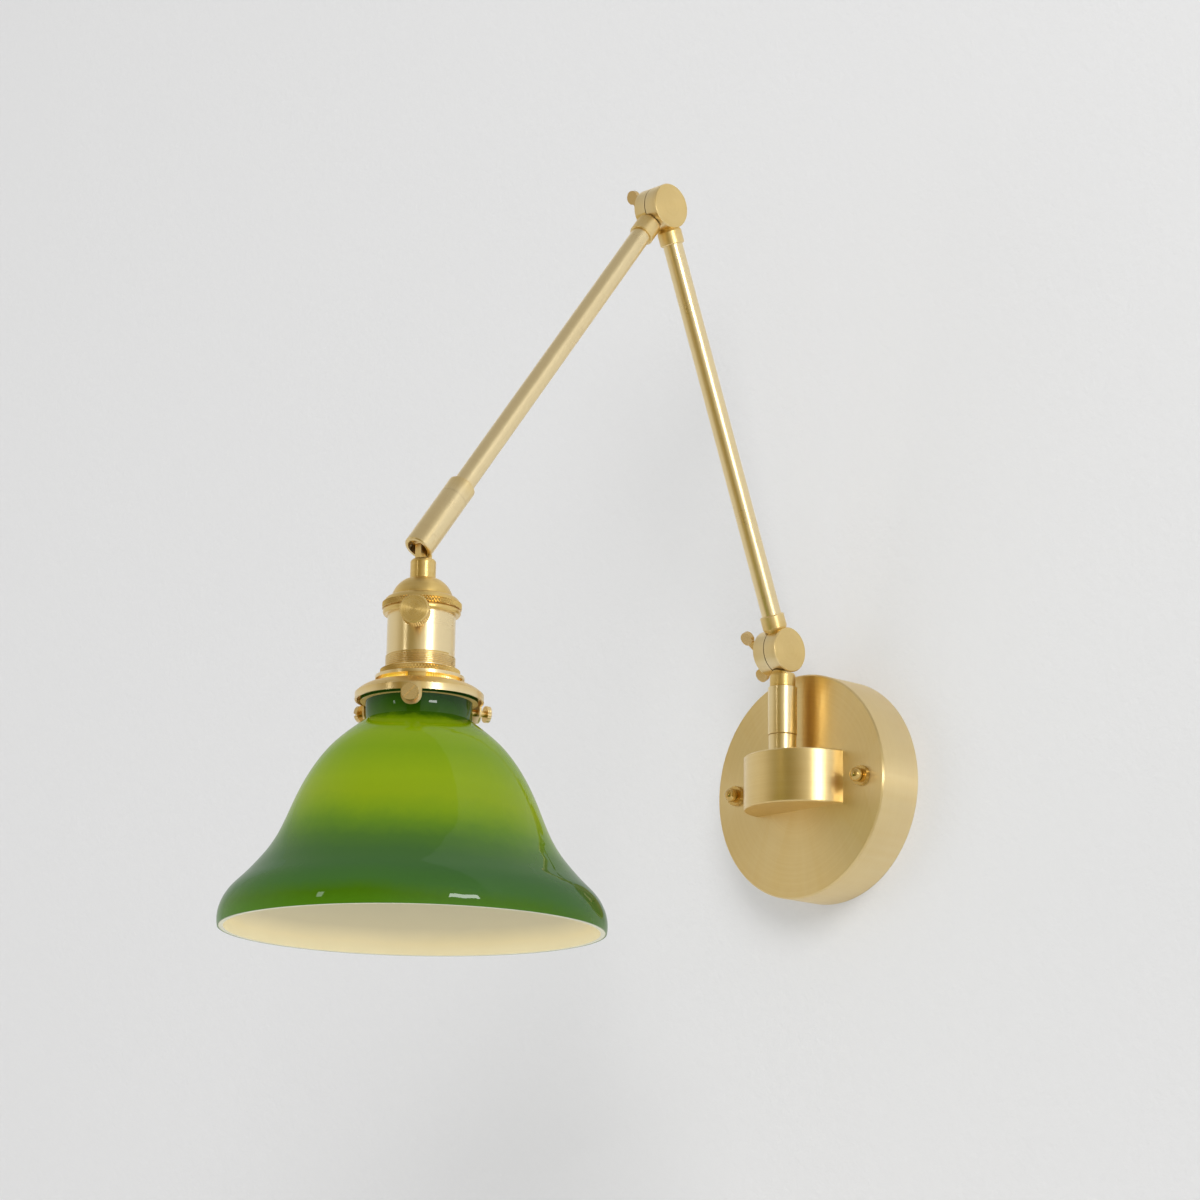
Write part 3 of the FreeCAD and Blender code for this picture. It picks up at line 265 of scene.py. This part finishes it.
# Material, the line's place and direction, settings, and the nodes that have it.
BRASS_PIECES = [
    ("plate_brass", PLATE_CENTRE, OUT, dict(roughness=0.33, stretch=0.88, lines=0.9),
     ["canopy"]),
    ("nut_brass", PLATE_CENTRE, OUT, dict(roughness=0.2, stretch=0.0, darker_and_shade=0.45),
     ["cap_nuts"]),
    ("block_brass", BLOCK_LINE, UP, dict(roughness=0.33, stretch=0.6),
     ["half_round_block"]),
    ("stem_brass", STEM_LINE, UP, dict(roughness=0.30, lines=0.35),
     ["stem_tube", "stem_foot", "stem_post", "post_nut"]),
    ("shoulder_brass", SHOULDER, SIDE, dict(roughness=0.38, lines=0.5),
     ["shoulder_left_half", "shoulder_right_half"]),
    ("elbow_brass", ELBOW, SIDE, dict(roughness=0.38, lines=0.5),
     ["elbow_left_half", "elbow_right_half"]),
    ("wing_brass", SHOULDER, SIDE, dict(roughness=0.27, stretch=0.0, lines=0.2, darker_and_shade=0.6),
     ["shoulder_wing_screw", "elbow_wing_screw"]),
    ("lower_tube_brass", LOWER_LINE, LOWER_ARM, dict(roughness=0.29, lines=0.25),
     ["lower_arm_tube"]),
    ("upper_tube_brass", TILT, UPPER_ARM, dict(roughness=0.29, lines=0.25),
     ["upper_arm_tube", "arm_end_collar", "swivel_sleeve", "swivel_nipple"]),
    ("cap_brass", TILT, UP, dict(roughness=0.34, stretch=0.8, lines=0.6),
     ["socket_neck", "socket_cap"]),
    ("holder_brass", TILT, UP, dict(roughness=0.29, lines=0.4),
     ["socket_shell", "upper_lock_ring", "screw_shell", "centre_contact", "terminal_screws"]),
    ("gallery_brass", TILT, UP, dict(roughness=0.34, stretch=0.75, lines=0.6),
     ["gallery"]),
    ("screw_brass", TILT, UP, dict(roughness=0.28, stretch=0.0, darker_and_shade=0.2),
     ["shade_screw_1", "shade_screw_2", "shade_screw_3"]),
    ("knob_brass", KNOB_PLACE, KNOB_AXIS, dict(roughness=0.30, stretch=0.85, lines=2.0),
     ["switch_knob", "switch_shaft"]),
    ("pin_brass", TILT, SIDE, dict(roughness=0.3),
     ["pivot_pin"]),
]


def dress_brass():
    for name, place, axis, settings, nodes in BRASS_PIECES:
        give(satin(name, place, axis, **settings), *nodes)
    give(painted_glow_ring_brass(), "lower_lock_ring")


# ------------------------------------------------------------------ fine relief on the lamp holder

# Heights are from the tilt pivot.
KNURL_RADIUS = 18.82 * MM
KNURL_CREST = 0.40 * MM
KNURL_ROUND = 80                      # diamonds round a ring
KNURL_SHAPE = 0.62                    # distance of the rows, in diamond widths
KNURL_MARGIN = 0.2                    # of a row, from a crest to the end of the band
CAP_BAND = (-34.8 * MM, -31.8 * MM)
RING_BAND = (-68.0 * MM, -64.8 * MM)
THREAD_RADIUS = 16.41 * MM
THREAD_CREST = 0.42 * MM
THREAD_PITCH = 0.87 * MM
THREAD_TOP = -57.6 * MM
THREAD_BOTTOM = -64.6 * MM
THREAD_STEPS = 96                     # points in one turn
THREAD_FADE = 40                      # points over which an end runs out
# One turn's outline: share of the pitch, share of the crest.
THREAD_PROFILE = [(0.0, 0.0), (0.32, 1.0), (0.5, 1.0), (0.82, 0.0)]


def relief_piece(name, points, faces, smooth=False):
    """A new piece that rides on the lamp holder."""
    mesh = bpy.data.meshes.new(name)
    mesh.from_pydata(points, [], faces)
    mesh.validate()
    for polygon in mesh.polygons:
        polygon.use_smooth = smooth
    piece = bpy.data.objects.new(name, mesh)
    bpy.context.scene.collection.objects.link(piece)
    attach(piece, "head")
    return piece


def round_point(angle, radius, height):
    return (TILT.x + radius * math.cos(angle), TILT.y + radius * math.sin(angle), TILT.z + height)


def diamond_knurl(name, low, high):
    """A band of small pyramids, pressed into a ring as a diamond knurl."""
    width = 2 * math.pi * KNURL_RADIUS / KNURL_ROUND
    rows = max(2, round((high - low) / (width * KNURL_SHAPE)))
    step = (high - low) / rows
    margin = KNURL_MARGIN * step
    points, faces = [], []

    def at(turn, height, crest=0.0):
        angle = 2 * math.pi * turn / KNURL_ROUND
        points.append(round_point(angle, KNURL_RADIUS + crest, height))
        return len(points) - 1

    for row in range(-1, rows):
        middle = low + (row + 1) * step
        bottom, top = max(low, middle - step), min(high, middle + step)
        crest_height = min(max(middle, low + margin), high - margin)
        for i in range(KNURL_ROUND):
            turn = i + (0.5 if row % 2 else 0.0)
            peak = at(turn, crest_height, KNURL_CREST)
            corners = [at(turn - 0.5, middle), at(turn, bottom), at(turn + 0.5, middle),
                       at(turn, top)]
            for k in range(4):
                faces.append((corners[k], corners[(k + 1) % 4], peak))
    return relief_piece(name, points, faces)


def shell_thread(name):
    """The fine screw thread rolled on the lower end of the lamp holder's shell."""
    turns = (THREAD_TOP - THREAD_BOTTOM) / THREAD_PITCH - 1
    steps = int(turns * THREAD_STEPS)
    width = len(THREAD_PROFILE)
    points, faces = [], []
    for i in range(steps + 1):
        angle = 2 * math.pi * i / THREAD_STEPS
        fade = min(1.0, i / THREAD_FADE, (steps - i) / THREAD_FADE)
        start = THREAD_BOTTOM + THREAD_PITCH * i / THREAD_STEPS
        for along, out in THREAD_PROFILE:
            radius = THREAD_RADIUS + THREAD_CREST * out * fade
            points.append(round_point(angle, radius, start + THREAD_PITCH * along))
        if i:
            for k in range(width - 1):
                here = len(points) - width + k
                faces.append((here, here + 1, here - width + 1, here - width))
    return relief_piece(name, points, faces, smooth=True)


def add_relief():
    cap = diamond_knurl("cap_knurl", *CAP_BAND)
    ring = diamond_knurl("upper_ring_knurl", *RING_BAND)
    thread = shell_thread("shell_thread")
    give(satin("knurl_brass", TILT, UP, roughness=0.24, stretch=0.0, lines=0.2,
               valley=(KNURL_RADIUS, KNURL_RADIUS + KNURL_CREST)), cap, ring)
    give(satin("thread_brass", TILT, UP, roughness=0.26, stretch=0.0, lines=0.3,
               valley=(THREAD_RADIUS, THREAD_RADIUS + THREAD_CREST)), thread)


# ------------------------------------------------------------------ small hidden pieces

def plain_metal(name, colour, roughness):
    """Dull steel with darker clouds."""
    n = new_material(name)
    point = n.point()
    cloud = n.noise(point, 260, 4.0, 0.6)
    grain = n.noise(point, 3600, 2.0, 0.5)
    dark = tuple(c * 0.72 for c in colour[:3]) + (1,)
    shader = n.add("BsdfPrincipled", Metallic=1.0,
                   Base_Color=n.mix(n.remap(cloud, 0.35, 0.7, 0, 1), dark, colour),
                   Roughness=n.spread(cloud, roughness - 0.06, roughness + 0.08),
                   Normal=n.bump(grain, 0.2, 0.04 * MM))
    return n.surface(shader.outputs[0])


def moulded(name, colour, roughness, grain_scale=2400):
    """Paint, plastic or fibre with a fine grain and slightly worn clouds."""
    n = new_material(name)
    point = n.point()
    cloud = n.noise(point, 150, 3.0, 0.55)
    grain = n.noise(point, grain_scale, 2.0, 0.5)
    worn = tuple(min(1, c * 1.5 + 0.01) for c in colour[:3]) + (1,)
    shader = n.add("BsdfPrincipled",
                   Base_Color=n.mix(n.remap(cloud, 0.4, 0.75, 0, 0.6), colour, worn),
                   Roughness=n.spread(grain, roughness - 0.05, roughness + 0.08),
                   Normal=n.bump(grain, 0.3, 0.05 * MM))
    return n.surface(shader.outputs[0])


def dress_inner_pieces():
    give(plain_metal("zinc_steel", srgb(196, 198, 201), 0.38),
         "crossbar", "canopy_studs", "block_screws", "post_clip", "swivel_clip")
    give(moulded("green_paint", srgb(20, 110, 50), 0.3), "ground_screw")
    give(moulded("black_plastic", srgb(28, 27, 26), 0.42),
         "wire_bushing", "socket_core", "switch_cam")
    give(moulded("fibre", srgb(88, 74, 60), 0.7, grain_scale=900),
         "shell_liner", "shoulder_washer", "elbow_washer")
    give(moulded("lead_insulation", srgb(36, 35, 34), 0.5),
         "supply_leads", "stem_leads", "lower_arm_leads", "upper_arm_leads", "head_leads")
    give(plain_metal("bulb_metal", srgb(214, 214, 216), 0.28), "bulb_cap")


# ------------------------------------------------------------------ glass and bulb

# Display colours of the glass, outside and inside, with the bulb's light and shade painted in as
# bands: share of the drop from neck to rim, colour.
GREEN_AND_PAINTED_GLOW = [
    (0.00, (16, 48, 10)), (0.07, (36, 76, 6)), (0.115, (52, 88, 6)), (0.15, (112, 142, 4)),
    (0.22, (130, 160, 6)), (0.30, (124, 157, 2)), (0.43, (140, 167, 6)), (0.50, (138, 164, 8)),
    (0.565, (122, 154, 12)), (0.63, (95, 134, 22)), (0.70, (72, 113, 32)), (0.77, (61, 102, 41)),
    (0.84, (58, 100, 44)), (0.91, (61, 106, 38)), (0.96, (68, 112, 6)), (1.00, (74, 122, 14)),
]
CREAM_AND_PAINTED_GLOW = [
    (0.0, (226, 190, 112)), (0.5, (196, 184, 144)), (0.80, (202, 195, 164)),
    (0.885, (212, 203, 170)), (0.95, (246, 233, 190)), (1.0, (255, 246, 208)),
]
CUT_WHITE, CUT_GREEN = (228, 226, 196), (84, 120, 40)   # the two layers in the ground rim
UNLIT_SHARE = 0.42       # of the green that comes from the room light; the rest is the bulb's
WARM_SHARE = 0.35        # of the cream that comes from the bulb; the rest is the room light's
GLASS_TONE = 0.86        # keeps the green as written under the room mirrored in it
LEAN = 0.03              # the painted bands of light and shade lie a little lower on one side
LEAN_TURN = math.radians(45)
CASING_RADIUS = 90.7 * MM    # where the cut rim changes from the white layer to the green one
CASING_BLEND = 0.3 * MM
NECK_MIDDLE = -85.2 * MM     # from the tilt pivot
NECK_HALF = 4.6 * MM
WAIST = 38.0             # how strongly the neck's surface curves in, per metre


def share_of(colour, share):
    """Linear colour of a share of the light of a display colour."""
    return tuple(v * share for v in srgb(*colour)[:3]) + (1,)


def cased_glass():
    """Green glass cased over a white one, with the bulb's light from within painted on as a glow and
    as bands of light and shade from neck to rim.
    """
    n = new_material("cased_glass")
    coords = n.add("TexCoord")
    point, normal = coords.outputs["Object"], coords.outputs["Normal"]
    x, y, height = n.split(n.vector("SUBTRACT", point, tuple(TILT)))
    swirl = n.noise(point, 17, 3.0, 0.55)
    seeds = n.noise(point, 420, 2.0, 0.5)
    mottle = n.noise(point, 260, 3.0, 0.6)

    # Masks: 1 on the green outside, and 1 on the ground rim.
    radial = n.vector("NORMALIZE", n.combine(x, y, 0.0))
    outside = n.remap(n.vector("DOT_PRODUCT", radial, normal), -0.02, 0.06, 0, 1)
    low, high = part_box("glass_shade")
    drop = n.remap(height, high.z - TILT.z, low.z - TILT.z, 0, 1)
    rim = n.math("MULTIPLY", n.remap(n.split(normal)[2], -0.75, -0.95, 0, 1),
                 n.remap(drop, 0.95, 0.97, 0, 1))

    # Where along the colours a point lies: smooth inside, drifting and leaning outside.
    lean = n.math("SINE", n.math("SUBTRACT", n.azimuth(x, y), LEAN_TURN))
    lean = n.math("MULTIPLY", lean, n.remap(drop, 0.2, 0.5, 0, LEAN))
    inner_drop = n.math("ADD", drop, n.spread(swirl, -0.01, 0.01), True)
    outer_drop = n.math("SUBTRACT", drop, lean)
    outer_drop = n.math("ADD", outer_drop, n.spread(swirl, -0.022, 0.022))
    outer_drop = n.math("ADD", outer_drop, n.spread(mottle, -0.006, 0.006), True)

    # The neck curves in between its ends, and the blown surface waves a little.
    from_middle = n.math("ABSOLUTE", n.math("SUBTRACT", height, NECK_MIDDLE))
    from_middle = n.math("MINIMUM", from_middle, NECK_HALF)
    waist = n.math("MULTIPLY", n.math("MULTIPLY", from_middle, from_middle), WAIST)
    relief = n.bump(waist, 1.0, 1.0)
    relief = n.bump(n.noise(point, 55, 2.0, 0.5), 0.10, 1.0 * MM, relief)

    radius = n.distance(x, y)

    # Colours with the painted bands of light and shade, split between the surface colour and the
    # glow.
    def dressed(share_out, share_in):
        share_out = share_out * GLASS_TONE
        green = n.ramp(outer_drop, [(at, share_of(c, share_out)) for at, c in GREEN_AND_PAINTED_GLOW])
        cream = n.ramp(inner_drop, [(at, share_of(c, share_in)) for at, c in CREAM_AND_PAINTED_GLOW])
        casing = n.remap(radius, CASING_RADIUS - CASING_BLEND, CASING_RADIUS + CASING_BLEND, 0, 1)
        cut = n.mix(casing, share_of(CUT_WHITE, share_in), share_of(CUT_GREEN, share_out))
        return n.mix(rim, n.mix(outside, cream, green), cut)

    # Both the colour and the emission carry the painted bands of light and shade.
    shader = n.add("BsdfPrincipled", Base_Color=dressed(UNLIT_SHARE, 1 - WARM_SHARE),
                   Roughness=n.remap(seeds, 0.3, 0.8, 0.03, 0.07), IOR=1.45,
                   Specular_IOR_Level=0.0, Normal=relief, Coat_Weight=0.55,
                   Coat_Roughness=0.02, Coat_IOR=1.5, Coat_Normal=relief,
                   Emission_Color=dressed(1 - UNLIT_SHARE, WARM_SHARE), Emission_Strength=1.0)
    return n.surface(shader.outputs[0])


def frosted_bulb():
    n = new_material("frosted_bulb")
    point = n.point()
    frost = n.noise(point, 700, 3.0, 0.6)
    cloud = n.spread(n.noise(point, 30, 2.0, 0.5), 0, 1)
    shader = n.add("BsdfPrincipled", Base_Color=srgb(250, 246, 236),
                   Roughness=n.spread(frost, 0.35, 0.5), Normal=n.bump(frost, 0.2, 0.06 * MM),
                   Emission_Color=n.mix(cloud, srgb(255, 230, 172), srgb(255, 240, 204)),
                   Emission_Strength=1.2)
    return n.surface(shader.outputs[0])


# ------------------------------------------------------------------ stage, light and camera

WALL_GAP = 0.2 * MM      # between the lamp's mounting plane and the painted one
FLOOR_DROP = -1.0
WALL = [(-3, WALL_GAP, FLOOR_DROP), (3, WALL_GAP, FLOOR_DROP), (3, WALL_GAP, 2.2),
        (-3, WALL_GAP, 2.2)]
FLOOR = [(-2, -1.3, FLOOR_DROP), (2, -1.3, FLOOR_DROP), (2, WALL_GAP, FLOOR_DROP),
         (-2, WALL_GAP, FLOOR_DROP)]
OWN_COLOUR = 0.3         # share of a stage plane's own colour in what is seen of it

LAMP_TARGET = Vector((0, -0.25, 0.0))
# Name, place, width, height, radiance, and whether it makes highlights or lights the surfaces.
LAMPS = [
    ("key", (1.64, -0.60, 0.22), 0.5, 0.26, 16, True),
    ("front_strip", (-0.16, -2.2, 0.34), 0.12, 0.4, 6, True),
    ("right_fill", (2.2, -2.4, 1.2), 1.6, 1.6, 7.9, False),
    ("left_fill", (-1.6, -1.6, 0.2), 1.2, 1.2, 1.2, False),
]

# What shiny pieces see of the room at each azimuth, in degrees: pale sides, darker front.
ROOM = [
    (-180, (0.62, 0.61, 0.59)), (-95, (0.70, 0.69, 0.65)), (-64, (0.68, 0.66, 0.60)),
    (-42, (0.66, 0.62, 0.52)), (-24, (0.46, 0.40, 0.26)), (-8, (0.31, 0.25, 0.11)),
    (18, (0.28, 0.22, 0.08)), (30, (0.38, 0.32, 0.17)), (45, (0.60, 0.55, 0.42)),
    (60, (0.74, 0.72, 0.64)), (76, (0.86, 0.86, 0.82)), (104, (0.76, 0.76, 0.75)),
    (140, (0.64, 0.64, 0.63)), (180, (0.62, 0.61, 0.59)),
]
OVERHEAD = (0.46, 0.44, 0.40, 1)
ROOM_LIGHT = 0.54        # on matt surfaces

CAMERA_PLACE = Vector((1.16004, -1.25495, -0.30998))
CAMERA_TURN = math.radians(47.0)
CAMERA_RISE = math.radians(-13.66)
CAMERA_ROLL = math.radians(0.93)
FOCAL_PIXELS = 3229.27
PHOTO_PIXELS = 1200
SENSOR = 36.0


def stage_plane(name, corners, colour):
    """A matt painted plane with a fine plaster grain, clear from behind.

    A part of what is seen of it is its own colour and the rest the light on it, so that it
    stays pale and keeps the shadow.
    """
    mesh = bpy.data.meshes.new(name)
    mesh.from_pydata(corners, [], [tuple(range(len(corners)))])
    plane = bpy.data.objects.new(name, mesh)
    bpy.context.scene.collection.objects.link(plane)
    n = new_material(name)
    path = n.add("LightPath").outputs
    direct = n.math("MAXIMUM", path["Is Camera Ray"], path["Is Glossy Ray"])
    direct = n.math("MAXIMUM", direct, path["Is Transmission Ray"])
    plaster = n.bump(n.noise(n.point(), 210, 3.0, 0.55), 0.35, 1.2 * MM)
    lit = n.add("BsdfDiffuse", Color=colour, Normal=plaster).outputs[0]
    pale = n.add("Emission", Color=colour, Strength=1.0).outputs[0]
    front = n.mix_shaders(n.math("MULTIPLY", direct, OWN_COLOUR), lit, pale)
    clear = n.add("BsdfTransparent").outputs[0]
    behind = n.add("NewGeometry").outputs["Backfacing"]
    mesh.materials.append(n.surface(n.mix_shaders(behind, front, clear)))


def soft_box(name, place, width, height, radiance, mirrored):
    """A rectangular lamp. A mirrored one makes the highlights, and the others light surfaces."""
    light = bpy.data.lights.new(name, "AREA")
    light.shape = "RECTANGLE"
    light.size, light.size_y = width, height
    light.energy = radiance * math.pi * width * height
    lamp = bpy.data.objects.new(name, light)
    bpy.context.scene.collection.objects.link(lamp)
    lamp.location = place
    lamp.rotation_euler = (LAMP_TARGET - Vector(place)).to_track_quat("-Z", "Y").to_euler()
    lamp.visible_glossy = mirrored
    lamp.visible_diffuse = not mirrored


def add_room():
    """The world: the room for shiny pieces, plain light for matt ones, and pale where seen."""
    world = bpy.data.worlds.new("room")
    bpy.context.scene.world = world
    n = Nodes(world)
    path = n.add("LightPath").outputs
    x, y, z = n.split(n.add("TexCoord").outputs["Generated"])
    turn = n.remap(n.azimuth(x, y), -math.pi, math.pi, 0, 1)
    sides = n.ramp(turn, [((degrees + 180) / 360, colour) for degrees, colour in ROOM])
    room = n.mix(n.remap(z, 0.35, 0.85, 0, 1), sides, OVERHEAD)
    shown = n.add("Background", Color=room, Strength=1.0).outputs[0]
    seen = n.add("Background", Color=srgb(232, 232, 231), Strength=1.0).outputs[0]
    plain = n.add("Background", Color=(1, 1, 1, 1), Strength=ROOM_LIGHT).outputs[0]
    straight = n.math("MAXIMUM", path["Is Camera Ray"], path["Is Transmission Ray"])
    indirect = n.mix_shaders(path["Is Glossy Ray"], plain, shown)
    n.surface(n.mix_shaders(straight, indirect, seen), "OutputWorld")


def add_camera():
    """The photograph's viewpoint, from a fit to the object's edges in it."""
    turn, rise, roll = CAMERA_TURN, CAMERA_RISE, CAMERA_ROLL
    back = Vector((math.sin(turn) * math.cos(rise), -math.cos(turn) * math.cos(rise),
                   math.sin(rise)))
    level = Vector((math.cos(turn), math.sin(turn), 0))
    upright = back.cross(level)
    right = level * math.cos(roll) + upright * math.sin(roll)
    up = upright * math.cos(roll) - level * math.sin(roll)
    camera = bpy.data.cameras.new("camera")
    camera.sensor_width = SENSOR
    camera.lens = FOCAL_PIXELS * SENSOR / PHOTO_PIXELS
    camera.clip_start = 0.01
    holder = bpy.data.objects.new("camera", camera)
    bpy.context.scene.collection.objects.link(holder)
    facing = Matrix((right, up, back)).transposed().to_4x4()
    holder.matrix_world = Matrix.Translation(CAMERA_PLACE) @ facing
    bpy.context.scene.camera = holder


def set_stage():
    stage_plane("wall", WALL, srgb(228, 228, 228))
    stage_plane("floor", FLOOR, srgb(228, 227, 225))
    for lamp in LAMPS:
        soft_box(*lamp)
    add_room()
    bpy.context.scene.view_settings.view_transform = "Standard"


dress_brass()
dress_inner_pieces()
add_relief()
give(cased_glass(), "glass_shade")
give(frosted_bulb(), "bulb_glass")
set_stage()
add_camera()
